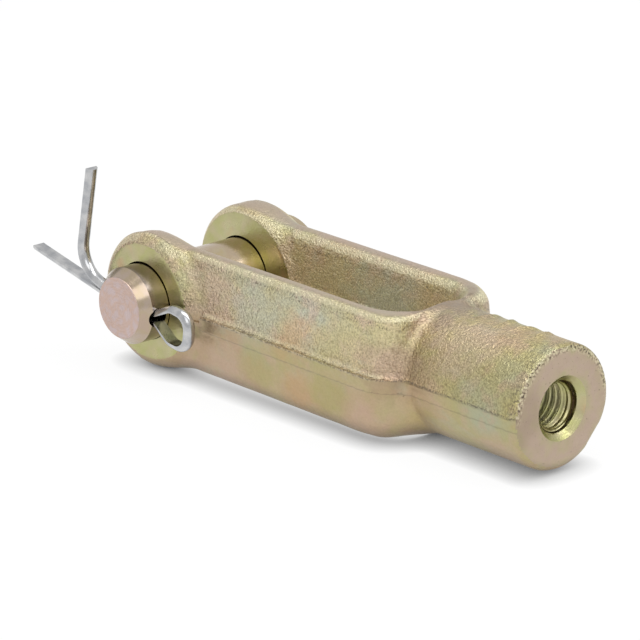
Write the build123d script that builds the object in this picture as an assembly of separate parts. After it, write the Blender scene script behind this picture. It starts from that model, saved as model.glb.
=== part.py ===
from build123d import *
from math import cos, radians, sin, tan
import os

os.makedirs("parts", exist_ok=True)

# Clevis rod end: a forged yoke, its clevis pin and a split cotter pin, in millimetres.
# The origin is on the pin axis, midway between the two ears. +X runs to the
# threaded boss, Y is the pin axis with the pin's head at +Y, and +Z is up.

# Clevis pin
pin_diameter = 12.7
pin_head_diameter = 16.0
pin_head_thickness = 4.06
pin_head_chamfer = 0.5
pin_head_play = 0.3
pin_past_ear = 5.34
pin_tip_chamfer = 1.31
pin_tip_chamfer_length = 1.85
pin_bore_clearance = 0.1

# Cotter pin, bent from one half-round wire with its flat side inward
cotter_hole_diameter = 3.3
cotter_hole_from_pin_end = 3.0
cotter_hole_tilt = 7.0
cotter_wire_width = 2.2
cotter_loop_length = 7.4
cotter_loop_rise = 2.6
cotter_loop_drop = 2.5
cotter_loop_radius = 2.0
cotter_neck_gap = 0.8
cotter_neck_radius = 3.0
cotter_leg_gap = 0.12
cotter_straight_leg_length = 18.5
cotter_straight_leg_rise = 1.4
cotter_bent_leg_reach = 7.4
cotter_bent_leg_rise = 1.7
cotter_bent_leg_height = 17.7
cotter_bent_leg_lean = 1.05
cotter_bend_radius = 5.4

# Yoke: ears, with their round outer rims faced off flat where the pin passes through
ear_half_span = 14.06
jaw_half_width = 6.92
ear_radius = 11.5
ear_outer_rim = 3.0
ear_outer_facing = 0.2
ear_inner_chamfer = 1.7
ear_inner_chamfer_length = 2.1

# Yoke: arms and shoulder, forged as two drafted halves above and below the parting plane
parting_height = -0.5
upper_half_span = 13.0
lower_half_span = 13.7
arm_top_height = 10.25
arm_bottom_depth = 10.6
arm_upper_edge = 1.5
arm_lower_edge = 3.8
arm_inner_edge = 2.4
shoulder_distance = 56.8
shoulder_corner = 5.7
forging_draft = 6.0

# Inner roundings are cut this much proud of the crest, so that they cross it at an angle
inner_edge_overshoot = 0.15

# Yoke: slot between the arms, straight where the web was punched out and drafted beyond
slot_half_width = 6.95
slot_root_distance = 52.6
slot_root_corner = 5.2
slot_land_height = 4.4
slot_land_step = 0.35

# Yoke: land left outside by the trimmed flash
land_top = 0.65
land_bottom = -1.7
land_half_span = 14.0
land_start = 13.5
land_boss_half_span = 10.25
land_inside_corner = 1.5

# Yoke: threaded boss, with its hole bored to the thread's minor diameter
boss_end_distance = 80.2
boss_diameter = 20.0
boss_end_chamfer = 0.8
tapped_hole_diameter = 6.65
countersink_diameter = 10.3

ON_FLOOR = (Align.CENTER, Align.CENTER, Align.MIN)
FROM_START = (Align.MIN, Align.CENTER)

pin_radius = pin_diameter / 2
pin_end = -(ear_half_span + pin_past_ear)
pin_head_seat = ear_half_span + pin_head_play
cotter_station = pin_end + cotter_hole_from_pin_end
boss_start = shoulder_distance - shoulder_corner
boss_length = boss_end_distance - boss_start
upper_height = arm_top_height - parting_height
lower_height = arm_bottom_depth + parting_height


def plan(half_span, length, corner, start=0.0):
    """Plan outline from x = start to x = length, rounded at its +X corners."""
    sheet = Pos(start, 0) * Rectangle(length - start, 2 * half_span, align=FROM_START)
    return fillet(sheet.vertices().sort_by(Axis.X)[-2:], corner)


def upper_and_lower(upper, lower):
    """Two halves, each modelled upward from z = 0, set back to back on the parting plane."""
    return Pos(0, 0, parting_height) * (upper + mirror(lower, about=Plane.XY))


def forged_half(half_span, height, edge):
    """Half of the arms and shoulder, with the slot still filled."""
    corner = shoulder_corner + half_span - upper_half_span
    outline = plan(half_span, shoulder_distance, corner)
    half = extrude(outline, amount=height, taper=forging_draft)
    top = half.faces().sort_by(Axis.Z)[-1]
    rim = top.edges().filter_by(lambda line: line.center().X > shoulder_corner)
    return fillet(rim, edge)


def slot_half(height):
    """Half of the slot: straight, then drafted, flared at the arms' inner edge and open above it."""
    land = slot_land_height / 2
    drafted_height = height + inner_edge_overshoot - land
    reach = 2 * shoulder_distance
    punched = plan(slot_half_width, slot_root_distance, slot_root_corner, start=-reach)
    straight = extrude(punched, amount=land)
    widening = slot_land_step + drafted_height * tan(radians(forging_draft))
    mouth = plan(
        slot_half_width + widening,
        slot_root_distance + widening,
        slot_root_corner + widening,
        start=-2 * reach,
    )
    slab = Box(2 * reach, reach, drafted_height, align=ON_FLOOR)
    wedge = mirror(extrude(mouth, amount=drafted_height, taper=forging_draft), about=Plane.XY)
    walls = slab - Pos(0, 0, drafted_height) * wedge
    top = walls.faces().sort_by(Axis.Z)[-1]
    rim = top.edges().filter_by(lambda line: abs(line.center().X) < shoulder_distance)
    rim = rim.filter_by(lambda line: abs(line.center().Y) < upper_half_span)
    drafted = slab - fillet(rim, arm_inner_edge)
    above = extrude(drafted.faces().sort_by(Axis.Z)[-1], amount=ear_radius)
    return straight + Pos(0, 0, land) * (drafted + above)


def slot_between_ears():
    """The slot's space, less the chamfered inner side of each ear that stands into it."""
    slot = upper_and_lower(slot_half(upper_height), slot_half(lower_height))
    ear = Cylinder(ear_radius + inner_edge_overshoot, ear_half_span - jaw_half_width, align=ON_FLOOR)
    flat = ear.faces().sort_by(Axis.Z)[0]
    ear = chamfer(flat.edges(), ear_inner_chamfer, ear_inner_chamfer_length, reference=flat)
    near_ear = Plane(origin=(0, -jaw_half_width, 0), z_dir=(0, -1, 0)) * ear
    return slot - near_ear - mirror(near_ear, about=Plane.XZ)


def outer_forging():
    """Arms, shoulder and ears seen from outside, with the space between them still filled."""
    upper_half = forged_half(upper_half_span, upper_height, arm_upper_edge)
    lower_half = forged_half(lower_half_span, lower_height, arm_lower_edge)
    arms = upper_and_lower(upper_half, lower_half)
    ear = Cylinder(ear_radius, ear_half_span + ear_outer_facing, align=ON_FLOOR)
    ear = fillet(ear.edges().group_by(Axis.Z)[0], ear_outer_rim)
    ear -= Cylinder(2 * ear_radius, ear_outer_facing, align=ON_FLOOR)
    near_ear = Plane(origin=(0, -ear_half_span - ear_outer_facing, 0), z_dir=(0, 1, 0)) * ear
    return arms + near_ear + mirror(near_ear, about=Plane.XZ)


def flash_land():
    """Band left by the trimmed flash, following the outline of the arms and the boss."""
    arms = plan(land_half_span, shoulder_distance, shoulder_corner, start=land_start)
    neck_length = boss_length - boss_end_chamfer
    neck = Pos(boss_start, 0) * Rectangle(neck_length, 2 * land_boss_half_span, align=FROM_START)
    outline = arms + neck
    inside = outline.vertices().filter_by(
        lambda point: boss_start < point.X < boss_start + neck_length / 2
        and abs(abs(point.Y) - land_boss_half_span) < land_inside_corner / 10
    )
    outline = fillet(inside, land_inside_corner)
    return Pos(0, 0, land_bottom) * extrude(outline, amount=land_top - land_bottom)


def threaded_boss():
    """Round boss along +X, buried in the shoulder at one end and chamfered at its face."""
    boss = Cylinder(boss_diameter / 2, boss_length, align=ON_FLOOR)
    boss = chamfer(boss.edges().group_by(Axis.Z)[-1], boss_end_chamfer)
    return Plane.YZ.offset(boss_start) * boss


def tapped_hole():
    """Hole from the boss face through to the slot, countersunk at 45 degrees."""
    depth = (countersink_diameter - tapped_hole_diameter) / 2
    hole = Cylinder(tapped_hole_diameter / 2, boss_end_distance - slot_root_distance / 2, align=ON_FLOOR)
    mouth = Cone(countersink_diameter / 2, tapped_hole_diameter / 2, depth, align=ON_FLOOR)
    from_face = Plane(origin=(boss_end_distance, 0, 0), z_dir=(-1, 0, 0))
    return from_face * (hole + mouth)


def yoke_body():
    body = outer_forging() + threaded_boss() + flash_land() - slot_between_ears()
    pin_bore = Rot(90, 0, 0) * Cylinder(pin_radius + pin_bore_clearance, 4 * ear_half_span)
    return body - pin_bore - tapped_hole()


def across_pin():
    """Plane of the cotter: x along its hole, y across the two strands, z toward the pin's end."""
    along_hole = (cos(radians(cotter_hole_tilt)), 0, -sin(radians(cotter_hole_tilt)))
    return Plane(origin=(0, cotter_station, 0), x_dir=along_hole, z_dir=(0, -1, 0))


def clevis_pin():
    shank = Cylinder(pin_radius, pin_head_seat - pin_end, align=ON_FLOOR)
    tip = shank.faces().sort_by(Axis.Z)[0]
    shank = chamfer(tip.edges(), pin_tip_chamfer, pin_tip_chamfer_length, reference=tip)
    head = Cylinder(pin_head_diameter / 2, pin_head_thickness, align=ON_FLOOR)
    head = chamfer(head.edges().group_by(Axis.Z)[-1], pin_head_chamfer)
    pin = shank + Pos(0, 0, pin_head_seat - pin_end) * head
    pin = Plane(origin=(0, pin_end, 0), z_dir=(0, 1, 0)) * pin
    hole = across_pin() * Rot(0, 90, 0) * Cylinder(cotter_hole_diameter / 2, 2 * pin_diameter)
    return pin - hole


def cotter_pin():
    """Wire led from the bent leg's tip through the hole, round the loop and back to the straight leg."""
    neck = cotter_neck_gap / 2
    leg = cotter_leg_gap / 2
    bent_corner = -pin_radius - cotter_bent_leg_reach
    loop_end = pin_radius + cotter_loop_length
    route = [
        (bent_corner + cotter_bent_leg_lean, cotter_bent_leg_rise + cotter_bent_leg_height),
        (bent_corner, cotter_bent_leg_rise),
        (-pin_radius, leg),
        (pin_radius, neck),
        (pin_radius + cotter_loop_length / 2, cotter_loop_rise),
        (loop_end, cotter_loop_rise),
        (loop_end, -cotter_loop_drop),
        (pin_radius + cotter_loop_length / 2, -cotter_loop_drop),
        (pin_radius, -neck),
        (-pin_radius, -leg),
        (-pin_radius - cotter_straight_leg_length, cotter_straight_leg_rise),
    ]
    neck_bends = [cotter_neck_radius] * 2
    loop_bends = [cotter_loop_radius] * 4
    path = FilletPolyline(*route, radius=[cotter_bend_radius] + neck_bends + loop_bends + neck_bends)
    radius = cotter_wire_width / 2
    flat_side = Line((-radius, 0), (radius, 0))
    round_side = ThreePointArc((radius, 0), (0, -radius), (-radius, 0))
    half_round = make_face(flat_side + round_side)
    start = Plane(origin=path @ 0, x_dir=(0, 0, 1), z_dir=path % 0)
    return across_pin() * sweep(start * half_round, path)


nodes = {"yoke_body": yoke_body(), "clevis_pin": clevis_pin(), "cotter_pin": cotter_pin()}
for name, shape in nodes.items():
    export_step(shape, f"parts/{name}.step")
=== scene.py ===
from math import cos, pi, radians, sin, tan

import bpy
import numpy as np
from mathutils import Matrix, Vector


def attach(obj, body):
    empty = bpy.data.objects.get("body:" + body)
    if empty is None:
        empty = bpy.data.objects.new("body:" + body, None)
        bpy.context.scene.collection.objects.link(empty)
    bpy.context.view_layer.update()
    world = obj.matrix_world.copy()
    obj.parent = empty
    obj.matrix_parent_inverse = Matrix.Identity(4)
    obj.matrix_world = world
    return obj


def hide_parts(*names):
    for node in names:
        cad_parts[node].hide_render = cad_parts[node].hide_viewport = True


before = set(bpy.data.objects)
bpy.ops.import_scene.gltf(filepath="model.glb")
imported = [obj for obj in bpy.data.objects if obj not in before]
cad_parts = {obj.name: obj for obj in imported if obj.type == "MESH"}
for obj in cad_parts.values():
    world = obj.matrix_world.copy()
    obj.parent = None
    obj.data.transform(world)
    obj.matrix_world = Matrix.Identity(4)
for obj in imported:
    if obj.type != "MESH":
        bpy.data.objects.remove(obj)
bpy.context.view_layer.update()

# The clevis rod end from the CAD frame, dressed. Lengths are in millimetres until a mesh
# is made, and MM turns them into Blender's metres. The origin is on the pin's axis, midway
# between the ears: +X runs to the threaded boss, -Y is the near side and +Z is up.
MM = 0.001

# Camera, fitted to the photograph's 640 x 640 frame
IMAGE_SIZE = 640
FOCAL_PIXELS = 3526.7
SENSOR_WIDTH = 36.0
CAMERA_TARGET = (26.79, 0.0, 0.36)
CAMERA_AZIMUTH = 47.408
CAMERA_ELEVATION = 18.817
CAMERA_ROLL = 0.226
CAMERA_DISTANCE = 561.4
CAMERA_CLIP = 10.0

# Arms and shoulder, drafted away from the parting plane
PARTING = -0.5
DRAFT = tan(radians(6.0))
UPPER_HALF_SPAN = 13.0
LOWER_HALF_SPAN = 13.7
UPPER_HEIGHT = 10.75
LOWER_HEIGHT = 10.1
UPPER_EDGE = 1.5
LOWER_EDGE = 3.8
INNER_EDGE = 2.3
SHOULDER = 56.8
SHOULDER_CORNER = 5.7

# Roundings that grow toward the shoulder's corners, between two distances before its end,
# and how much rounder its far corner is
CORNER_REACH = 10.0
CORNER_FULL = 3.0
CORNER_LOWER_EDGE = 1.0
FAR_CORNER_EDGE = 1.2
FAR_CORNER_EXTRA = 1.0

# Slot, straight where the web was punched out and drafted above and below
SLOT_HALF_WIDTH = 6.95
SLOT_ROOT = 52.6
SLOT_CORNER = 5.2
SLOT_LAND = 2.2
SLOT_STEP = 0.35

# Ears, set a little off the pin's axis
EAR_RADIUS = 11.5
EAR_SHIFT_X = 0.1
EAR_SHIFT_Z = 0.15
EAR_HALF_SPAN = 14.06
EAR_OUTER_RIM = 3.0
EAR_OUTER_FACING = 0.22
EAR_INNER_RIM = 3.2
FAR_EAR_INNER_RIM = 2.4
EAR_INNER_FACING = 0.37
JAW_HALF_WIDTH = 6.92
EAR_FILLET = 2.4

# Near ear: how much smaller its upper half is, and how far its crown falls toward the slot,
# between two distances from the middle plane and in full from a height above the pin's axis
NEAR_EAR_DROP = 0.15
EAR_CROWN_DROP = 1.9
FALL_START = 12.5
FALL_END = 8.0
FALL_HEIGHT = 6.0

# Boss, with a flat low on its far side and rounder edges toward its underside
BOSS_RADIUS = 10.0
BOSS_START = 54.6
BOSS_END = 80.2
BOSS_EDGE = 0.9
BOSS_LOWER_EDGE = 1.6
BOSS_FILLET = 1.2
BOSS_LOWER_FILLET = 3.4
BOSS_LOW_DEPTH = 8.0
BOSS_FLAT = 9.7
BOSS_FLAT_ANGLE = -40.0

# Ribs on the boss's top: distance along it, place around it and slant of each
MARKS = (
    (59.5, 1.6, 0.3),
    (63.2, 1.3, -0.2),
    (67.0, 1.8, 0.3),
    (70.8, 1.4, -0.3),
    (74.4, 1.7, 0.2),
)
MARK_HEIGHT = 0.34
MARK_HALF_WIDTH = 0.6
MARK_HALF_LENGTH = 2.2

# Land left by the trimmed flash, torn along its upper edge and where it starts
LAND_TOP = 0.65
LAND_BOTTOM = -1.7
LAND_START = 13.5
LAND_HALF_SPAN = 14.0
LAND_BOSS_HALF_SPAN = 10.0
LAND_NECK_FILLET = 1.5
LAND_TAPER = 0.1
LAND_FILLET = 0.7
LAND_FILLET_DEPTH = 1.0
TEAR_HEIGHT = 0.12
TEAR_LENGTH = 1.6
START_TEAR = 1.5

# Unevenness of the forging: height and wavelength of its long and of its short waves
SWELL_HEIGHT = 0.05
SWELL_LENGTH = 9.0
RIPPLE_HEIGHT = 0.02
RIPPLE_LENGTH = 2.5
WAVES = 9

# Bore, in which the pin lies low by its sag, and threaded hole
BORE_RADIUS = 6.5
BORE_SAG = 0.1
COUNTERSINK = 5.15
THREAD_MAJOR = 4.02
THREAD_MINOR = 3.325
THREAD_PITCH = 1.25
THREAD_ROOM = 0.1

# Thread: shares of half a pitch that its crest and flank take, how it runs out before the
# countersink, and the facets of its helical surface
THREAD_CREST = 0.12
THREAD_FLANK = 0.62
THREAD_LEAD_IN = 2.5
THREAD_STOP = 0.9
THREAD_RUNOUT_RISE = 0.25
THREAD_MARGIN = 0.6
THREAD_OVERLAP = 0.02
THREAD_COLUMNS = 72
THREAD_ROWS_PER_TURN = 12

# Clevis pin: distances of its end and of its chamfer's start from the middle plane
PIN_END = 19.4
PIN_CHAMFER_START = 17.55
PIN_RING_SPACING = 0.55
PIN_TURNING_PITCH = 0.3

# Grid on which the yoke's surface is found, and how it is found there: turns of the search
# along an edge, nudge for its slope, reach for its bend, and hold of a cell's middle
CELL = 0.4
GRID_LOW = (-12.0, -15.0, -12.0)
GRID_HIGH = (81.0, 15.0, 12.0)
ROOT_TURNS = 6
SECANT_TURNS = 3
SLOPE_NUDGE = 0.01
BEND_REACH = 0.45
MIDDLE_HOLD = 0.05
SHARP_ANGLE = 35.0

# Materials of the yoke, and how near a machined surface a face lies to belong to it
FORGED, FACED, END = range(3)
FACE_MARGIN = 0.04
BORE_MARGIN = 0.06
END_MARGIN = 0.25
COUNTERSINK_DEPTH = 1.4

# Limits between which the masks of the skin fade in. Leans are parts of the surface's unit
# normal, bends are sums of its two curvatures in 1/mm, and the others are millimetres.
ABOVE_LAND = (LAND_TOP - 0.25, LAND_TOP + 0.25)
BOSS_SKIN = (SHOULDER - 2.0, SHOULDER + 1.0)
EAR_SKIN = (EAR_RADIUS - 0.6, EAR_RADIUS + 1.4)
OUTER_SKIN = (LAND_START - 1.0, LAND_START + 0.5)
CREST_BEND = (0.22, 0.42)
ARM_CREST_LEAN = (0.34, 0.48)
ARM_TOP_LEAN = (0.78, 0.90)
EAR_CREST_BEND = (0.18, 0.30)
EAR_CREST_LEAN = (0.35, 0.50)
EAR_SIDE_LEAN = (0.84, 0.90)
LEDGE_LEAN = (0.35, 0.7)
LEDGE_HEIGHT = (1.2, 1.8)
LEDGE_SPAN = (12.0, 12.6)
WALL_LEAN = (0.25, 0.5)
CROWN_LEAN = (0.84, 0.96)
CROWN_HEIGHT = (8.0, 9.5)
BOSS_SIDE = (3.0, 6.0)

# How far above a point its crest is looked for and from what height up, the border beside
# the slot that doesn't count as outside, and the share of coarseness missing on a crown
UNDER_CREST = 0.6
UNDER_LOWEST = 6.0
SLOT_BORDER = 2.5
CROWN_WEAR = 0.85

# Floor: share of its look that is plain white rather than lit, and its painted contact shadow
FLOOR_WHITE = 0.93
FLOOR_TONE = 0.97
FLOOR_ROUGHNESS = 0.9
FLOOR_REACH = 3000.0
REST_STEPS = 5
CONTACT_REACH = 4.0
CONTACT_DEPTH = 0.6

# Studio: brightness of its surroundings, and lights by name, place, width, length and power,
# in metres and watts
WORLD_LEVEL = 0.8
LIGHTS = (
    ("overhead", (0.14, 0.10, 0.60), 0.34, 0.80, 2.1),
    ("front_right", (0.34, -0.28, 0.42), 0.36, 0.36, 0.5),
)

# Tints of the yellow passivated zinc coating, with painted highlight and painted shade among them
BROWN = (0.52, 0.40, 0.28)
BEIGE = (0.56, 0.465, 0.32)
OLIVE = (0.50, 0.47, 0.265)
MOSS = (0.46, 0.45, 0.20)
TEAL = (0.46, 0.49, 0.38)
PINK = (0.57, 0.445, 0.355)
GOLD = (0.54, 0.43, 0.20)
ORANGE = (0.58, 0.41, 0.24)
LILAC = (0.60, 0.50, 0.43)
MAUVE = (0.60, 0.485, 0.47)
ROSE = (0.60, 0.44, 0.37)
UMBER = (0.36, 0.275, 0.20)
# DARK is painted shade under the crests and along the land, and also the dark specks of the sawn end
DARK = (0.13, 0.105, 0.08)
# Painted highlight on the crests, the land's ledge and the rim of the boss's end
PAINTED_HIGHLIGHT = (0.76, 0.69, 0.47)
# Painted shade on the pin beyond the near ear, where it reflects the ear
PIN_PAINTED_SHADE = (0.27, 0.235, 0.23)
# Painted shade and pink reflection on the flat tops that face up
CROWN_PAINTED_SHADE = (0.48, 0.385, 0.315)

# Greys of the cotter's plain zinc
WIRE_DARK = (0.38, 0.39, 0.41)
WIRE_PALE = (0.60, 0.60, 0.60)

# Red, green and blue factors on the arms (painted light), the lower half (painted shade), the boss (darker)
# and in the slot (warmer)
ARM_PAINTED_LIGHT = (1.17, 1.11, 1.14)
LOWER_PAINTED_SHADE = (0.89, 0.84, 0.75)
BOSS_DARKENING = (0.88, 0.83, 0.72)
SLOT_COAT = (1.04, 1.0, 0.96)

# How the grain darkens and brightens the tint, from its pits to its peaks: painted shade in the pits,
# painted light on the peaks
GRAIN_SHADE_AND_LIGHT = ((0.34, (0.72, 0.68, 0.62)), (0.5, (1.06, 1.06, 1.06)), (0.68, (1.34, 1.32, 1.24)))

# Size of the drifting tints, and the clouds over them: size, stretch, limits between which
# they fade in, share and tint
DRIFT_SIZE = 16.0
CLOUDS = (
    (DRIFT_SIZE / 6, (1, 1, 1), (0.50, 0.64), 0.4, OLIVE),
    (DRIFT_SIZE / 5, (1, 0.7, 1), (0.52, 0.64), 0.5, PINK),
    (DRIFT_SIZE / 4, (0.8, 1, 1.3), (0.58, 0.70), 0.4, TEAL),
)

# Tints that show in one place on the forging, some of them painted shade and highlight: centre, radius,
# tint and share
PATCHES = (
    ((15, -13, 5), 7, PINK, 0.6),
    ((26, -13, 4), 7, TEAL, 0.7),
    ((35, -13, 2), 6, ORANGE, 0.6),
    ((43, -13, 4), 6, OLIVE, 0.6),
    # Painted shade where the shoulder's corner meets the boss
    ((54, -10, 2), 6, UMBER, 0.55),
    ((59, -8, 3), 5, UMBER, 0.35),
    # Painted highlight on the boss's upper side
    ((66, -6, 8), 8, LILAC, 0.6),
    ((22, 8, 3), 9, OLIVE, 0.6),
    ((34, 8, 3), 10, TEAL, 0.7),
    ((46, 8, 5), 6, ORANGE, 0.5),
    ((20, -13, -6), 5, PINK, 0.6),
    ((28, -13, -5), 6, MOSS, 0.5),
    ((36, -13, -7), 5, ORANGE, 0.6),
    ((44, -13, -4), 6, MOSS, 0.6),
    ((50, -12, -7), 5, ROSE, 0.6),
    ((60, -8, -6), 5, GOLD, 0.5),
    ((68, -6, -8), 7, OLIVE, 0.6),
    ((75, -8, -6), 5, PINK, 0.5),
)
PATCH_FADE = 0.35

# Brown shade on top of the shoulder, in front of the boss, and dark patch on the boss's end
SHOULDER_SHADE = ((55.5, 1, 9.5), 9, UMBER, 0.85)
END_PATCH = ((BOSS_END, -8, 0), 6, UMBER, 0.55)

# Share of brown that dulls the sawn end
END_SHADE = 0.3

# Span in which nearly all of Blender's noise lies
NOISE_SPAN = (0.3, 0.7)


def step(value, low, high):
    """Smooth rise from 0 at low to 1 at high."""
    t = np.clip((value - low) / (high - low), 0, 1)
    return t * t * (3 - 2 * t)


def rounded_corner(a, b, radius):
    """Where both a and b are negative, with the edge between them rounded."""
    return (
        np.minimum(np.maximum(a, b) + radius, 0)
        + np.hypot(np.maximum(a + radius, 0), np.maximum(b + radius, 0))
        - radius
    )


def blend(a, b, radius):
    """Where a or b is negative, with the valley between them filled to a radius."""
    return np.maximum(np.minimum(a, b), radius) - np.hypot(
        np.maximum(radius - a, 0), np.maximum(radius - b, 0)
    )


def plan(x, y, half_span, length, corner):
    """Plan outline |y| = half_span and x = length, rounded at its +X corners."""
    return rounded_corner(np.abs(y) - half_span, x - length, corner)


def ripple(x, y, z, wavelength, seed):
    """Smooth uneven field from -1 to 1, made of waves in many directions."""
    rng = np.random.default_rng(seed)
    total = 0
    for _ in range(WAVES):
        direction = rng.normal(size=3)
        direction *= 2 * pi / (wavelength * rng.uniform(0.8, 1.5) * np.linalg.norm(direction))
        phase = rng.uniform(0, 2 * pi)
        total = total + np.sin(direction[0] * x + direction[1] * y + direction[2] * z + phase)
    return total / WAVES


def arms_distance(x, y, height):
    """Arms and shoulder, drafted away from the parting plane, with the slot between them."""
    upper = height > 0
    rise = np.abs(height)
    top = rise - np.where(upper, UPPER_HEIGHT, LOWER_HEIGHT)
    half_span = np.where(upper, UPPER_HALF_SPAN, LOWER_HALF_SPAN)
    corner = SHOULDER_CORNER + half_span - UPPER_HALF_SPAN + np.where(y > 0, FAR_CORNER_EXTRA, 0)
    wall = plan(x, y, half_span, SHOULDER, corner) + DRAFT * rise
    at_corner = step(x, SHOULDER - CORNER_REACH, SHOULDER - CORNER_FULL)
    upper_edge = UPPER_EDGE + FAR_CORNER_EDGE * at_corner * (y > 0)
    lower_edge = LOWER_EDGE + CORNER_LOWER_EDGE * at_corner
    outside = rounded_corner(wall, top, np.where(upper, upper_edge, lower_edge))
    flare = np.where(rise > SLOT_LAND, SLOT_STEP + DRAFT * (rise - SLOT_LAND), 0)
    inner_wall = flare - plan(x, y, SLOT_HALF_WIDTH, SLOT_ROOT, SLOT_CORNER)
    return np.maximum(np.maximum(outside, rounded_corner(inner_wall, top, INNER_EDGE)), -x)


def ears_distance(x, y, z):
    """The two round ears, the near one lower on the side toward the slot."""
    side = np.abs(y)
    lean = np.clip((FALL_START + y) / (FALL_START - FALL_END), 0, 1) * np.clip(z / FALL_HEIGHT, 0, 1)
    drop = np.where(y < 0, NEAR_EAR_DROP * (z > 0) + EAR_CROWN_DROP * lean, 0)
    barrel = np.hypot(x - EAR_SHIFT_X, z - EAR_SHIFT_Z) - EAR_RADIUS + drop
    outer = rounded_corner(barrel, side - EAR_HALF_SPAN - EAR_OUTER_FACING, EAR_OUTER_RIM)
    inner_rim = np.where(y > 0, FAR_EAR_INNER_RIM, EAR_INNER_RIM)
    inner = rounded_corner(barrel, JAW_HALF_WIDTH - EAR_INNER_FACING - side, inner_rim)
    return np.maximum(outer, inner)


def marks_height(x, y, z):
    """Height of the plain soft ribs raised on the boss's top."""
    arc = BOSS_RADIUS * np.arctan2(y, z)
    height = 0
    for along, around, slant in MARKS:
        across = (x - along + slant * (arc - around)) / MARK_HALF_WIDTH
        length = (arc - around) / MARK_HALF_LENGTH
        height = np.maximum(height, np.exp(-across ** 2 - length ** 4))
    return MARK_HEIGHT * height * (z > 0)


def boss_distance(x, y, z, low_side):
    """The boss, ribbed on top, with a flat low on its far side and a rounder edge below."""
    angle = radians(BOSS_FLAT_ANGLE)
    flat = y * cos(angle) + z * sin(angle) - BOSS_FLAT
    boss = np.maximum(np.hypot(y, z) - BOSS_RADIUS - marks_height(x, y, z), flat)
    edge = BOSS_EDGE + (BOSS_LOWER_EDGE - BOSS_EDGE) * low_side
    return np.maximum(rounded_corner(boss, x - BOSS_END, edge), BOSS_START - x)


def land_distance(x, y, z):
    """Band of the trimmed flash round the arms and the boss, up to the slot's walls."""
    outline = blend(
        plan(x, y, LAND_HALF_SPAN, SHOULDER, SHOULDER_CORNER),
        plan(x, y, LAND_BOSS_HALF_SPAN, BOSS_END - BOSS_EDGE, BOSS_EDGE),
        LAND_NECK_FILLET,
    )
    outline = outline + LAND_TAPER * (LAND_TOP - z)
    torn = TEAR_HEIGHT * ripple(x, y, 0 * z, TEAR_LENGTH, seed=2)
    band = np.maximum(z - LAND_TOP - torn, LAND_BOTTOM - z)
    land = np.maximum(outline, band)
    land = np.maximum(land, LAND_START + START_TEAR * torn - x)
    return np.maximum(land, -plan(x, y, SLOT_HALF_WIDTH, SLOT_ROOT, SLOT_CORNER))


def machined(body, x, y, z):
    """The body less what was cut: the ears' faces, the bore, the threaded hole and its countersink."""
    near_pin = np.hypot(x, z - BORE_SAG)
    body = np.maximum(body, np.where(x < LAND_START, np.abs(y) - EAR_HALF_SPAN, -1))
    body = np.maximum(body, np.where(near_pin < EAR_RADIUS, JAW_HALF_WIDTH - np.abs(y), -1))
    body = np.maximum(body, BORE_RADIUS - near_pin)
    around = np.hypot(y, z)
    hole = np.where(x > SLOT_ROOT / 2, THREAD_MAJOR + THREAD_ROOM - around, -1)
    countersink = (COUNTERSINK - (BOSS_END - x) - around) * cos(pi / 4)
    return np.maximum(np.maximum(body, hole), countersink)


def yoke_distance(x, y, z):
    """Signed distance of the yoke, negative in the metal."""
    body = blend(arms_distance(x, y, z - PARTING), ears_distance(x, y, z), EAR_FILLET)
    low_side = step(-z, 0, BOSS_LOW_DEPTH)
    boss_fillet = BOSS_FILLET + (BOSS_LOWER_FILLET - BOSS_FILLET) * low_side
    body = blend(body, boss_distance(x, y, z, low_side), boss_fillet)
    body = body + SWELL_HEIGHT * (1 + ripple(x, y, z, SWELL_LENGTH, seed=1))
    body = body + RIPPLE_HEIGHT * ripple(x, y, z, RIPPLE_LENGTH, seed=3)
    land = land_distance(x, y, z)
    filled = blend(body, land, LAND_FILLET)
    body = np.where(z > LAND_TOP - LAND_FILLET_DEPTH, filled, np.minimum(body, land))
    return machined(body, x, y, z)


def gradient(distance, points):
    """Unit normals of a distance field."""
    columns = []
    for axis in range(3):
        shift = np.zeros(3)
        shift[axis] = SLOPE_NUDGE
        columns.append(distance(*(points + shift).T) - distance(*(points - shift).T))
    normals = np.stack(columns, 1)
    return normals / np.maximum(np.linalg.norm(normals, axis=1, keepdims=True), 1e-9)


def roots(distance, start, end):
    """The point of each segment from start to end where the distance is zero."""
    low, high = distance(*start.T), distance(*end.T)
    a, b = np.zeros(len(start)), np.ones(len(start))
    for turn in range(ROOT_TURNS):
        t = a + (b - a) * low / (low - high) if turn < SECANT_TURNS else (a + b) / 2
        value = distance(*(start + (end - start) * t[:, None]).T)
        same = (value < 0) == (low < 0)
        a, low = np.where(same, t, a), np.where(same, value, low)
        b, high = np.where(same, b, t), np.where(same, high, value)
    t = a + (b - a) * low / (low - high)
    return start + (end - start) * t[:, None]


def number_cells(solid):
    """A number for each grid cell that the surface passes through, and -1 for the others."""
    across, deep, tall = (count - 1 for count in solid.shape)
    filled = sum(
        solid[i:i + across, j:j + deep, k:k + tall].astype(np.int8)
        for i in (0, 1) for j in (0, 1) for k in (0, 1)
    )
    crossed = (filled > 0) & (filled < 8)
    numbers = np.full(crossed.shape, -1)
    numbers[crossed] = np.arange(crossed.sum())
    return numbers


def crossings(distance, ticks, solid, numbers, axis):
    """Where grid edges along an axis meet the surface, the four cells round each, and its solid side."""
    size = solid.shape[axis] - 1
    low = np.take(solid, range(size), axis)
    edges = np.argwhere(low != np.take(solid, range(1, size + 1), axis))
    far_ends = edges.copy()
    far_ends[:, axis] += 1
    start = np.stack([ticks[i][edges[:, i]] for i in range(3)], 1)
    end = np.stack([ticks[i][far_ends[:, i]] for i in range(3)], 1)
    ring = []
    for step_a, step_b in ((0, 0), (-1, 0), (-1, -1), (0, -1)):
        cell = edges.copy()
        cell[:, (axis + 1) % 3] += step_a
        cell[:, (axis + 2) % 3] += step_b
        ring.append(numbers[tuple(cell.T)])
    return roots(distance, start, end), np.stack(ring, 1), low[tuple(edges.T)]


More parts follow.
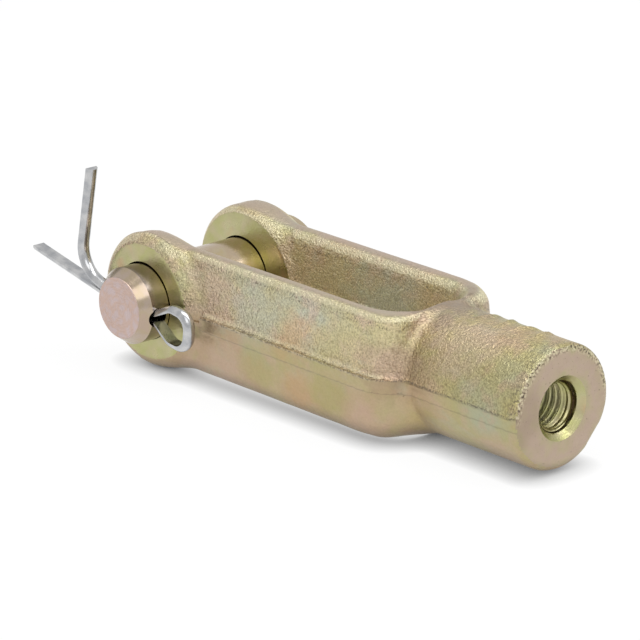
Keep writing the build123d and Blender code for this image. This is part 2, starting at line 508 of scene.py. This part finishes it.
def cell_vertices(found, cells):
    """One vertex in each cell: the middle of its crossings, drawn toward the planes through them."""
    def summed(column, values=None):
        """Sum of the values in each cell, or their count."""
        return np.bincount(column, weights=values, minlength=cells)

    hits, middle = np.zeros(cells), np.zeros((cells, 3))
    for column, points, _ in found:
        hits += summed(column)
        for i in range(3):
            middle[:, i] += summed(column, points[:, i])
    middle /= hits[:, None]
    spread, pull = np.zeros((cells, 3, 3)), np.zeros((cells, 3))
    for column, points, normals in found:
        offset = ((points - middle[column]) * normals).sum(1)
        for i in range(3):
            pull[:, i] += summed(column, normals[:, i] * offset)
            for j in range(3):
                spread[:, i, j] += summed(column, normals[:, i] * normals[:, j])
    spread += MIDDLE_HOLD * np.eye(3)
    return middle + np.linalg.solve(spread, pull[..., None])[..., 0]


def dual_contour(distance, ticks):
    """Vertices and quads of the surface distance = 0, with vertices drawn onto its sharp edges."""
    solid = distance(*np.meshgrid(*ticks, indexing="ij")) < 0
    numbers = number_cells(solid)
    found, quads = [], []
    for axis in range(3):
        points, ring, starts_solid = crossings(distance, ticks, solid, numbers, axis)
        normals = gradient(distance, points)
        quads.append(np.where(starts_solid[:, None], ring, ring[:, ::-1]))
        found += [(column, points, normals) for column in ring.T]
    cell = np.argwhere(numbers >= 0)
    vertices = cell_vertices(found, len(cell))
    for i in range(3):
        vertices[:, i] = np.clip(vertices[:, i], ticks[i][cell[:, i]], ticks[i][cell[:, i] + 1])
    return vertices, np.concatenate(quads)


def make_mesh(name, vertices, faces, *materials):
    """Object from vertices in millimetres and faces, smooth but for its sharp edges."""
    mesh = bpy.data.meshes.new(name)
    mesh.from_pydata((np.asarray(vertices) * MM).tolist(), [], np.asarray(faces).tolist())
    mesh.update()
    mesh.validate()
    mesh.shade_smooth()
    mesh.set_sharp_from_angle(angle=radians(SHARP_ANGLE))
    for material in materials:
        mesh.materials.append(material)
    piece = bpy.data.objects.new(name, mesh)
    bpy.context.scene.collection.objects.link(piece)
    return piece


class Shading:
    """A material's node tree, written as a few short calls."""

    def __init__(self, name):
        """A new material, with its shader and the object's own coordinates at hand."""
        self.material = bpy.data.materials.new(name)
        self.material.use_nodes = True
        self.nodes = self.material.node_tree.nodes
        self.links = self.material.node_tree.links
        self.shader = self.nodes["Principled BSDF"]
        self.place = self.nodes.new("ShaderNodeTexCoord").outputs["Object"]

    def put(self, socket, value):
        """Sets a socket to a constant, or links it to another socket."""
        if isinstance(value, bpy.types.NodeSocket):
            self.links.new(value, socket)
        else:
            socket.default_value = value

    def noise(self, size, detail=2.0, stretch=(1, 1, 1)):
        """Noise between 0 and 1 whose features are about size millimetres across."""
        node = self.nodes.new("ShaderNodeTexNoise")
        node.inputs["Scale"].default_value = 1 / (size * MM)
        node.inputs["Detail"].default_value = detail
        mapping = self.nodes.new("ShaderNodeMapping")
        mapping.inputs["Scale"].default_value = stretch
        self.links.new(self.place, mapping.inputs["Vector"])
        self.links.new(mapping.outputs["Vector"], node.inputs["Vector"])
        return node.outputs["Fac"]

    def uneven(self, size, low, high, detail=2.0):
        """Noise spread from low to high, with features about size millimetres across."""
        return self.fit(self.noise(size, detail), *NOISE_SPAN, low, high)

    def ramp(self, value, stops):
        """Colour ramp through (position, colour) stops."""
        node = self.nodes.new("ShaderNodeValToRGB")
        elements = node.color_ramp.elements
        while len(elements) < len(stops):
            elements.new(0.5)
        for element, (position, colour) in zip(elements, stops):
            element.position = position
            element.color = (*colour, 1)
        self.links.new(value, node.inputs["Fac"])
        return node.outputs["Color"]

    def mix(self, factor, a, b, blend_type="MIX"):
        """Mixes two colours."""
        node = self.nodes.new("ShaderNodeMix")
        node.data_type = "RGBA"
        node.blend_type = blend_type
        self.put(node.inputs[0], factor)
        for socket, value in ((node.inputs[6], a), (node.inputs[7], b)):
            self.put(socket, value if isinstance(value, bpy.types.NodeSocket) else (*value, 1))
        return node.outputs[2]

    def tinted(self, colour, mask, share, tint):
        """Colour with a share of a tint where the mask is 1."""
        return self.mix(self.math("MULTIPLY", mask, share), colour, tint)

    def math(self, operation, a, b=0.0):
        """Result of a math operation on one or two values."""
        node = self.nodes.new("ShaderNodeMath")
        node.operation = operation
        self.put(node.inputs[0], a)
        self.put(node.inputs[1], b)
        return node.outputs[0]

    def fit(self, value, low, high, new_low=0.0, new_high=1.0):
        """Maps low..high to new_low..new_high, clamped."""
        node = self.nodes.new("ShaderNodeMapRange")
        self.put(node.inputs["Value"], value)
        limits = {"From Min": low, "From Max": high, "To Min": new_low, "To Max": new_high}
        for name, number in limits.items():
            node.inputs[name].default_value = number
        return node.outputs["Result"]

    def attribute(self, name):
        """Value stored on the mesh under this name."""
        node = self.nodes.new("ShaderNodeAttribute")
        node.attribute_name = name
        return node.outputs["Fac"]

    def axis(self, name):
        """Object coordinate along X, Y or Z, in millimetres."""
        node = self.nodes.new("ShaderNodeSeparateXYZ")
        self.links.new(self.place, node.inputs[0])
        return self.math("DIVIDE", node.outputs[name], MM)

    def distance(self, name_a, name_b):
        """Distance from the axis that is square to two named coordinates, in millimetres."""
        squares = [self.math("POWER", self.axis(name), 2.0) for name in (name_a, name_b)]
        return self.math("SQRT", self.math("ADD", *squares))

    def patch(self, colour, centre, radius, tint, share):
        """Colour drifting to a tint round a centre in millimetres, with an uneven border."""
        node = self.nodes.new("ShaderNodeVectorMath")
        node.operation = "DISTANCE"
        self.links.new(self.place, node.inputs[0])
        node.inputs[1].default_value = [value * MM for value in centre]
        fade = PATCH_FADE * radius
        away = self.math("DIVIDE", node.outputs["Value"], MM)
        away = self.math("ADD", away, self.uneven(3.0, -fade, fade, 4.0))
        return self.mix(self.fit(away, fade, radius, share, 0.0), colour, tint)

    def bump(self, height, depth):
        """Bump whose height of 1 stands depth millimetres proud."""
        node = self.nodes.new("ShaderNodeBump")
        node.inputs["Strength"].default_value = 1.0
        node.inputs["Distance"].default_value = depth * MM
        self.links.new(height, node.inputs["Height"])
        return node.outputs["Normal"]

    def metal(self, colour, roughness, relief, depth, metallic=1.0):
        """The material, finished as a metal whose relief of 1 stands depth millimetres proud."""
        self.shader.inputs["Metallic"].default_value = metallic
        self.put(self.shader.inputs["Base Color"], colour)
        self.put(self.shader.inputs["Roughness"], roughness)
        self.put(self.shader.inputs["Normal"], self.bump(relief, depth))
        return self.material


def zinc_colours(shading):
    """Drifting tints of the zinc coating, with smaller clouds over them."""
    drift = shading.noise(DRIFT_SIZE, 3.0, (0.6, 1, 1))
    colour = shading.ramp(drift, [(0.32, PINK), (0.42, BROWN), (0.50, BEIGE), (0.58, OLIVE), (0.70, TEAL)])
    for size, stretch, limits, share, tint in CLOUDS:
        cloud = shading.fit(shading.noise(size, 4.0, stretch), *limits)
        colour = shading.tinted(colour, cloud, share, tint)
    return colour


def region_light_and_shade(shading, colour, upper):
    """Colour multiplied by region: painted light on the arms, warmer in the slot, painted shade on the
    lower half, darker on the boss.
    """
    on_boss = shading.fit(shading.axis("X"), *BOSS_SKIN)
    upper_light_and_tint = shading.mix(shading.attribute("outer"), SLOT_COAT, ARM_PAINTED_LIGHT)
    light_shade_and_tint = shading.mix(on_boss, shading.mix(upper, LOWER_PAINTED_SHADE, upper_light_and_tint), BOSS_DARKENING)
    return shading.mix(1.0, colour, light_shade_and_tint, "MULTIPLY")


def land_lines(shading, specks):
    """How dark the torn upper edge and the fine lower edge of the flash land are, as painted shade."""
    height = shading.math("ADD", shading.axis("Z"), shading.uneven(0.8, -0.12, 0.12, 3.0))
    upper = shading.math("ABSOLUTE", shading.math("SUBTRACT", height, LAND_TOP - 0.1))
    upper = shading.fit(upper, 0.08, 0.24, 1.0, 0.0)
    upper = shading.math("MULTIPLY", upper, shading.fit(specks, 0.56, 0.46))
    lower = shading.math("ABSOLUTE", shading.math("SUBTRACT", height, LAND_BOTTOM))
    lower = shading.fit(lower, 0.04, 0.18, 0.4, 0.0)
    lines = shading.math("MAXIMUM", upper, lower)
    return shading.math("MULTIPLY", lines, shading.attribute("outer"))


def painted_skin_shade(shading, upper, specks):
    """How dark the skin is just under its crests, along the land and round the boss's end: painted shade
    under the crests and along the land, dark ragged specks at the end.
    """
    shade = shading.math("MULTIPLY", shading.attribute("under"), shading.fit(specks, 0.46, 0.36))
    shade = shading.math("MAXIMUM", shade, land_lines(shading, specks))
    near_end = shading.fit(shading.axis("X"), BOSS_END - 2.6, BOSS_END - 1.2)
    torn_end = shading.math("MULTIPLY", upper, near_end)
    torn_end = shading.math("MULTIPLY", torn_end, shading.fit(specks, 0.47, 0.38))
    return shading.math("MAXIMUM", shade, torn_end)


def forged_material():
    """Shot-blasted forging skin, with painted highlight specks on its crests and painted shade specks
    beside them.
    """
    shading = Shading("yoke_forged")
    upper = shading.fit(shading.axis("Z"), LAND_TOP - 0.3, LAND_TOP + 0.3)
    coarse = shading.fit(shading.attribute("coarse"), 0, 1, 0.15, 1.0)
    crest = shading.attribute("crest")
    grain = shading.noise(0.30, 3.0)
    specks = shading.noise(0.34, 2.0, (1.5, 1.5, 0.8))
    lumps = shading.noise(0.7, 4.0)
    colour = zinc_colours(shading)
    # Patches, two of them painted shade and one a painted highlight
    for patch in PATCHES:
        colour = shading.patch(colour, *patch)
    # Painted light on the arms above the land, painted shade on the lower half, and a darker boss
    colour = region_light_and_shade(shading, colour, upper)
    # Painted shade and pink reflection on the flat crowns
    colour = shading.tinted(colour, shading.attribute("crown"), 0.7, CROWN_PAINTED_SHADE)
    colour = shading.patch(colour, *SHOULDER_SHADE)
    # Painted shade in the grain's pits and painted light on its peaks, where the skin is coarse
    grain_shaded = shading.mix(1.0, colour, shading.ramp(grain, GRAIN_SHADE_AND_LIGHT), "MULTIPLY")
    colour = shading.mix(shading.fit(coarse, 0, 1, 0, 0.8), colour, grain_shaded)
    # Painted highlight specks on the crests and on the land's ledge
    highlight_specks = shading.math("MULTIPLY", crest, shading.fit(specks, 0.34, 0.52))
    colour = shading.tinted(colour, highlight_specks, 0.75, PAINTED_HIGHLIGHT)
    # Painted shade specks under the crests and along the land's edges
    colour = shading.tinted(colour, painted_skin_shade(shading, upper, specks), 0.68, DARK)
    relief = shading.math("ADD", coarse, shading.math("MULTIPLY", crest, 0.6))
    relief = shading.math("MULTIPLY", grain, relief)
    swell = shading.math("MULTIPLY", lumps, shading.fit(coarse, 0, 1, 0.3, 1.35))
    relief = shading.math("ADD", relief, swell)
    return shading.metal(colour, shading.fit(lumps, *NOISE_SPAN, 0.32, 0.44), relief, 0.20, metallic=0.85)


def faced_material():
    """Machined faces around the pin, the thread and its countersink."""
    shading = Shading("yoke_faced")
    drift = shading.noise(7.0, 2.0)
    tint = shading.ramp(drift, [(0.32, ORANGE), (0.42, OLIVE), (0.55, MOSS), (0.68, OLIVE)])
    cloud = shading.fit(shading.noise(2.2, 3.0), 0.45, 0.65)
    tint = shading.tinted(tint, cloud, 0.4, BEIGE)
    return shading.metal(tint, shading.uneven(2.0, 0.26, 0.40), shading.noise(0.35, 3.0), 0.04)


def end_material():
    """Sawn end of the boss, pink with greener rings beside its rim and its countersink."""
    shading = Shading("yoke_end")
    radius = shading.distance("Y", "Z")
    wander = shading.math("ADD", radius, shading.uneven(2.0, -1.1, 1.1, 3.0))
    rings = shading.ramp(
        shading.fit(wander, 4.5, 10.5),
        [(0.0, OLIVE), (0.25, BEIGE), (0.45, PINK), (0.72, BEIGE), (0.9, OLIVE)],
    )
    blush = shading.fit(shading.noise(3.0, 3.0), 0.46, 0.62)
    tint = shading.tinted(rings, blush, 0.5, PINK)
    tint = shading.mix(END_SHADE, tint, UMBER)
    tint = shading.patch(tint, *END_PATCH)
    specks = shading.noise(0.45, 2.0)
    # Painted highlight specks on the upper rim's rounding, and dark specks of its ragged edge
    rim = shading.math("MULTIPLY", shading.fit(radius, 8.5, 9.3), shading.fit(shading.axis("Z"), -1.0, 2.0))
    tint = shading.tinted(tint, rim, shading.fit(specks, 0.50, 0.60), PAINTED_HIGHLIGHT)
    tint = shading.tinted(tint, rim, shading.fit(specks, 0.45, 0.38), DARK)
    tint = shading.tinted(tint, shading.fit(specks, 0.66, 0.74), 0.5, DARK)
    relief = shading.math("ADD", shading.noise(0.35, 3.0), shading.noise(1.2, 2.0))
    return shading.metal(tint, shading.uneven(1.5, 0.36, 0.48), relief, 0.05)


def pin_relief(shading, along, end):
    """Soft rings on the pin's end and faint turning marks along its side."""
    wobble = shading.math("ADD", shading.distance("X", "Z"), shading.uneven(1.5, -0.2, 0.2))
    rings = shading.math("SINE", shading.math("MULTIPLY", wobble, 2 * pi / PIN_RING_SPACING))
    turned = shading.math("SINE", shading.math("MULTIPLY", along, 2 * pi / PIN_TURNING_PITCH))
    relief = shading.math("MULTIPLY", shading.math("ADD", rings, shading.noise(0.5, 3.0)), end)
    relief = shading.math("ADD", relief, shading.math("MULTIPLY", turned, 0.03))
    return shading.math("ADD", relief, shading.math("MULTIPLY", shading.noise(0.8, 3.0), 0.25))


def pin_material():
    """Turned pin, browner beyond the ear with painted shade, a pale chamfer of painted reflection and
    shade, and a mottled mauve end.
    """
    shading = Shading("pin_zinc")
    along = shading.axis("Y")
    drift = shading.noise(5.0, 3.0)
    tint = shading.ramp(drift, [(0.34, PINK), (0.46, BROWN), (0.54, BEIGE), (0.62, GOLD), (0.72, BROWN)])
    tint = shading.mix(0.45, tint, BEIGE)
    # Painted shade beyond the near ear, where the pin reflects the ear
    beyond = shading.fit(along, -PIN_CHAMFER_START, -EAR_HALF_SPAN, 0.85, 0.5)
    outside = shading.fit(along, -EAR_HALF_SPAN - 0.3, -EAR_HALF_SPAN, 1.0, 0.0)
    tint = shading.tinted(tint, beyond, outside, PIN_PAINTED_SHADE)
    # Painted reflection on the chamfer: a pale pink and lilac tint, darkened with umber as painted shade
    chamfer = shading.fit(along, -PIN_CHAMFER_START, -PIN_CHAMFER_START + 0.1, 1.0, 0.0)
    pale = shading.ramp(shading.noise(3.0, 3.0), [(0.38, PINK), (0.50, BEIGE), (0.62, LILAC)])
    tint = shading.mix(chamfer, tint, shading.mix(0.45, pale, UMBER))
    end = shading.fit(along, -PIN_END + 0.02, -PIN_END + 0.1, 1.0, 0.0)
    mottle = shading.ramp(shading.noise(1.6, 5.0), [(0.36, MAUVE), (0.50, ROSE), (0.64, MAUVE)])
    tint = shading.mix(end, tint, mottle)
    smooth = shading.uneven(1.5, 0.14, 0.22)
    roughness = shading.math("ADD", smooth, shading.math("MULTIPLY", end, 0.22))
    return shading.metal(tint, roughness, pin_relief(shading, along, end), 0.02)


def wire_material():
    """Bright zinc-plated wire with fine drawing marks."""
    shading = Shading("cotter_wire")
    tint = shading.ramp(shading.noise(2.0, 3.0), [(0.35, WIRE_DARK), (0.65, WIRE_PALE)])
    return shading.metal(tint, shading.uneven(1.0, 0.14, 0.26), shading.noise(0.8, 2.0), 0.008)


def thread_profile(phase):
    """Radius of the internal thread over one pitch: crest, flank, root, flank."""
    from_crest = abs(2 * (phase % 1.0) - 1)
    share = min(max((from_crest - THREAD_CREST) / THREAD_FLANK, 0), 1)
    return THREAD_MINOR + (THREAD_MAJOR - THREAD_MINOR) * share


def thread_radius(along, phase):
    """Radius of the thread at a distance along the boss, running out into the countersink."""
    last = BOSS_END - THREAD_STOP
    depth = min(1, (last - along) / THREAD_LEAD_IN) if along < last else 0
    stands_out = thread_profile(phase) - THREAD_MINOR - THREAD_RUNOUT_RISE
    radius = THREAD_MINOR + THREAD_RUNOUT_RISE + stands_out * depth
    return max(radius, COUNTERSINK - (BOSS_END - along) - THREAD_OVERLAP)


def make_thread(material):
    """Helical thread inside the boss, in rows that follow the helix."""
    columns = THREAD_COLUMNS
    start, end = SLOT_ROOT + THREAD_MARGIN, BOSS_END - THREAD_MARGIN
    rows = int((end - start) / THREAD_PITCH * THREAD_ROWS_PER_TURN)
    vertices, faces = [], []
    for row in range(rows + 1):
        turns = row / THREAD_ROWS_PER_TURN
        for column in range(columns + 1):
            along = start + THREAD_PITCH * (turns + column / columns - 1)
            along = min(max(along, start), end)
            radius = thread_radius(along, turns)
            angle = 2 * pi * column / columns
            vertices.append((along, radius * sin(angle), radius * cos(angle)))
    for row in range(rows):
        for column in range(columns):
            corner = row * (columns + 1) + column
            faces.append((corner, corner + 1, corner + columns + 2, corner + columns + 1))
    piece = make_mesh("rod_thread", vertices, faces, material)
    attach(piece, "yoke")


def curvature(points):
    """Sum of the two curvatures of the yoke's surface, in 1/mm: positive on crests, negative in hollows."""
    total = -6 * yoke_distance(*points.T)
    for axis in range(3):
        shift = np.zeros(3)
        shift[axis] = BEND_REACH
        total = total + yoke_distance(*(points + shift).T) + yoke_distance(*(points - shift).T)
    return total / BEND_REACH ** 2


def skin_masks(points):
    """Where the skin is coarse, on a crest, just under one, on a flat crown, and on the outside."""
    x, y, z = points.T
    normals = gradient(yoke_distance, points)
    up, across = normals[:, 2], np.abs(normals[:, 1])
    above_land = step(z, *ABOVE_LAND)
    ear = 1 - step(np.hypot(x, z), *EAR_SKIN)
    on_boss = step(x, *BOSS_SKIN)
    bend = curvature(points)
    arm_crest = step(bend, *CREST_BEND) * step(up, *ARM_CREST_LEAN) * (1 - step(up, *ARM_TOP_LEAN))
    ear_side = step(across, *EAR_SIDE_LEAN)
    ear_crest = step(bend, *EAR_CREST_BEND) * step(across, *EAR_CREST_LEAN) * (1 - ear_side)
    ledge = step(up, *LEDGE_LEAN) * (1 - step(z, *LEDGE_HEIGHT)) * step(np.abs(y), *LEDGE_SPAN)
    # The crest mask places the painted highlight
    crest = np.maximum(ear * ear_crest + (1 - ear) * arm_crest, ledge) * above_land
    wall = 1 - step(up, *WALL_LEAN)
    # The under mask places painted shade below the crests and on the ears' sides
    arm_under = step(curvature(points + (0, 0, UNDER_CREST)), *CREST_BEND) * wall * (z > UNDER_LOWEST)
    under = (ear * ear_side + (1 - ear) * arm_under * (1 - on_boss)) * above_land
    # The crown mask places the crowns' painted shade and reflection, and their finer skin
    crown = step(up, *CROWN_LEAN) * step(z, *CROWN_HEIGHT) * (1 - on_boss)
    boss_side = on_boss * step(np.abs(y), *BOSS_SIDE)
    beside_slot = plan(x, y, SLOT_HALF_WIDTH + SLOT_BORDER, SLOT_ROOT + SLOT_BORDER, SLOT_CORNER)
    return {
        "coarse": above_land * (1 - CROWN_WEAR * crown) * (1 + boss_side),
        "crest": crest * (1 - on_boss),
        "under": under,
        "crown": crown,
        "outer": step(beside_slot, 0, 0.5) * step(x, *OUTER_SKIN),
    }


def surface_kind(points):
    """Which of the yoke's materials each point has."""
    x, y, z = points.T
    side, near_pin, around = np.abs(y), np.hypot(x, z - BORE_SAG), np.hypot(y, z)
    outer_or_inner = (side > EAR_HALF_SPAN - FACE_MARGIN) | (side < JAW_HALF_WIDTH + FACE_MARGIN)
    ear_faces = (x < LAND_START) & outer_or_inner
    bores = (near_pin < BORE_RADIUS + BORE_MARGIN) | (around < THREAD_MAJOR + BORE_MARGIN)
    countersink = (x > BOSS_END - COUNTERSINK_DEPTH) & (around < COUNTERSINK)
    faced = ear_faces | bores | countersink
    return np.where(faced, FACED, np.where(x > BOSS_END - END_MARGIN, END, FORGED))


def make_yoke():
    """The forging in its three materials and the thread inside it; returns the forging's vertices."""
    ticks = [np.arange(low, high + CELL, CELL) for low, high in zip(GRID_LOW, GRID_HIGH)]
    vertices, quads = dual_contour(yoke_distance, ticks)
    faced = faced_material()
    piece = make_mesh("yoke_forging", vertices, quads, forged_material(), faced, end_material())
    kinds = surface_kind(vertices[quads].mean(1))
    piece.data.polygons.foreach_set("material_index", kinds.astype(np.int32))
    for name, values in skin_masks(vertices).items():
        mask = piece.data.attributes.new(name, "FLOAT", "POINT")
        mask.data.foreach_set("value", values.astype(np.float32))
    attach(piece, "yoke")
    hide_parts("yoke_body")
    make_thread(faced)
    return vertices


def dress_node(name, material):
    """A CAD node that keeps its shape and gets its material."""
    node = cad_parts[name]
    node.data.materials.clear()
    node.data.materials.append(material)


def make_camera():
    """Camera that looks at the target from its azimuth, elevation and distance, rolled a little."""
    azimuth, elevation, roll = (radians(a) for a in (CAMERA_AZIMUTH, CAMERA_ELEVATION, CAMERA_ROLL))
    back = Vector((sin(azimuth) * cos(elevation), -cos(azimuth) * cos(elevation), sin(elevation)))
    right = Vector((cos(azimuth), sin(azimuth), 0))
    up = back.cross(right)
    rolled_right = right * cos(roll) + up * sin(roll)
    rolled_up = up * cos(roll) - right * sin(roll)
    data = bpy.data.cameras.new("camera")
    data.sensor_width = SENSOR_WIDTH
    data.lens = FOCAL_PIXELS * SENSOR_WIDTH / IMAGE_SIZE
    data.clip_start = CAMERA_CLIP * MM
    camera = bpy.data.objects.new("camera", data)
    place = (Vector(CAMERA_TARGET) + back * CAMERA_DISTANCE) * MM
    turned = Matrix((rolled_right, rolled_up, back)).transposed().to_4x4()
    camera.matrix_world = Matrix.Translation(place) @ turned
    bpy.context.scene.collection.objects.link(camera)
    bpy.context.scene.camera = camera


def floor_material():
    """White floor for the camera and in reflections, with a lit shadow and a painted contact shadow where
    the object is near.
    """
    shading = Shading("floor_white")
    nodes, links = shading.nodes, shading.links
    shading.shader.inputs["Base Color"].default_value = (FLOOR_TONE, FLOOR_TONE, FLOOR_TONE, 1)
    shading.shader.inputs["Roughness"].default_value = FLOOR_ROUGHNESS
    rays = nodes.new("ShaderNodeLightPath").outputs
    seen = shading.math("ADD", rays["Is Camera Ray"], rays["Is Glossy Ray"])
    seen = shading.math("ADD", seen, rays["Is Transmission Ray"])
    # Painted contact shadow: the floor's white emission dims where the object is near
    contact = nodes.new("ShaderNodeAmbientOcclusion")
    contact.inputs["Distance"].default_value = CONTACT_REACH * MM
    white = nodes.new("ShaderNodeEmission")
    shading.put(white.inputs["Strength"], shading.math("POWER", contact.outputs["AO"], CONTACT_DEPTH))
    both = nodes.new("ShaderNodeMixShader")
    shading.put(both.inputs[0], shading.math("MULTIPLY", seen, FLOOR_WHITE))
    links.new(shading.shader.outputs[0], both.inputs[1])
    links.new(white.outputs[0], both.inputs[2])
    links.new(both.outputs[0], nodes["Material Output"].inputs["Surface"])
    return shading.material


def resting_plane(points):
    """Height at x = 0 and slope along x of the plane under the ears and the shoulder's underside."""
    x, z = points[:, 0], points[:, 2]
    ears, behind = x < LAND_START, x > SHOULDER / 2
    slope = 0.0
    for _ in range(REST_STEPS):
        height = (z - slope * x)[ears].min()
        slope = ((z - height) / x)[behind].min()
    return height, slope


def make_floor(points):
    """Floor that the yoke's lowest points touch, without passing through it."""
    height, slope = resting_plane(points)
    sides = ((-1, -1), (1, -1), (1, 1), (-1, 1))
    corners = [(x * FLOOR_REACH, y * FLOOR_REACH, height + slope * x * FLOOR_REACH) for x, y in sides]
    floor = make_mesh("floor", corners, [(0, 1, 2, 3)], floor_material())


def make_lights():
    """Even pale studio with a wide soft light overhead and one in front on the right."""
    world = bpy.data.worlds.new("studio")
    bpy.context.scene.world = world
    world.use_nodes = True
    background = world.node_tree.nodes["Background"]
    background.inputs["Color"].default_value = (WORLD_LEVEL, WORLD_LEVEL, WORLD_LEVEL, 1)
    target = Vector(CAMERA_TARGET) * MM
    for name, place, width, length, power in LIGHTS:
        data = bpy.data.lights.new(name, "AREA")
        data.shape = "RECTANGLE"
        data.size = width
        data.size_y = length
        data.energy = power
        light = bpy.data.objects.new(name, data)
        light.location = place
        light.rotation_euler = (target - Vector(place)).to_track_quat("-Z", "Y").to_euler()
        bpy.context.scene.collection.objects.link(light)


def main():
    """The lit and floored scene, with each piece of the clevis rod end dressed."""
    bpy.context.scene.view_settings.view_transform = "Standard"
    make_camera()
    make_lights()
    make_floor(make_yoke())
    dress_node("clevis_pin", pin_material())
    dress_node("cotter_pin", wire_material())


main()
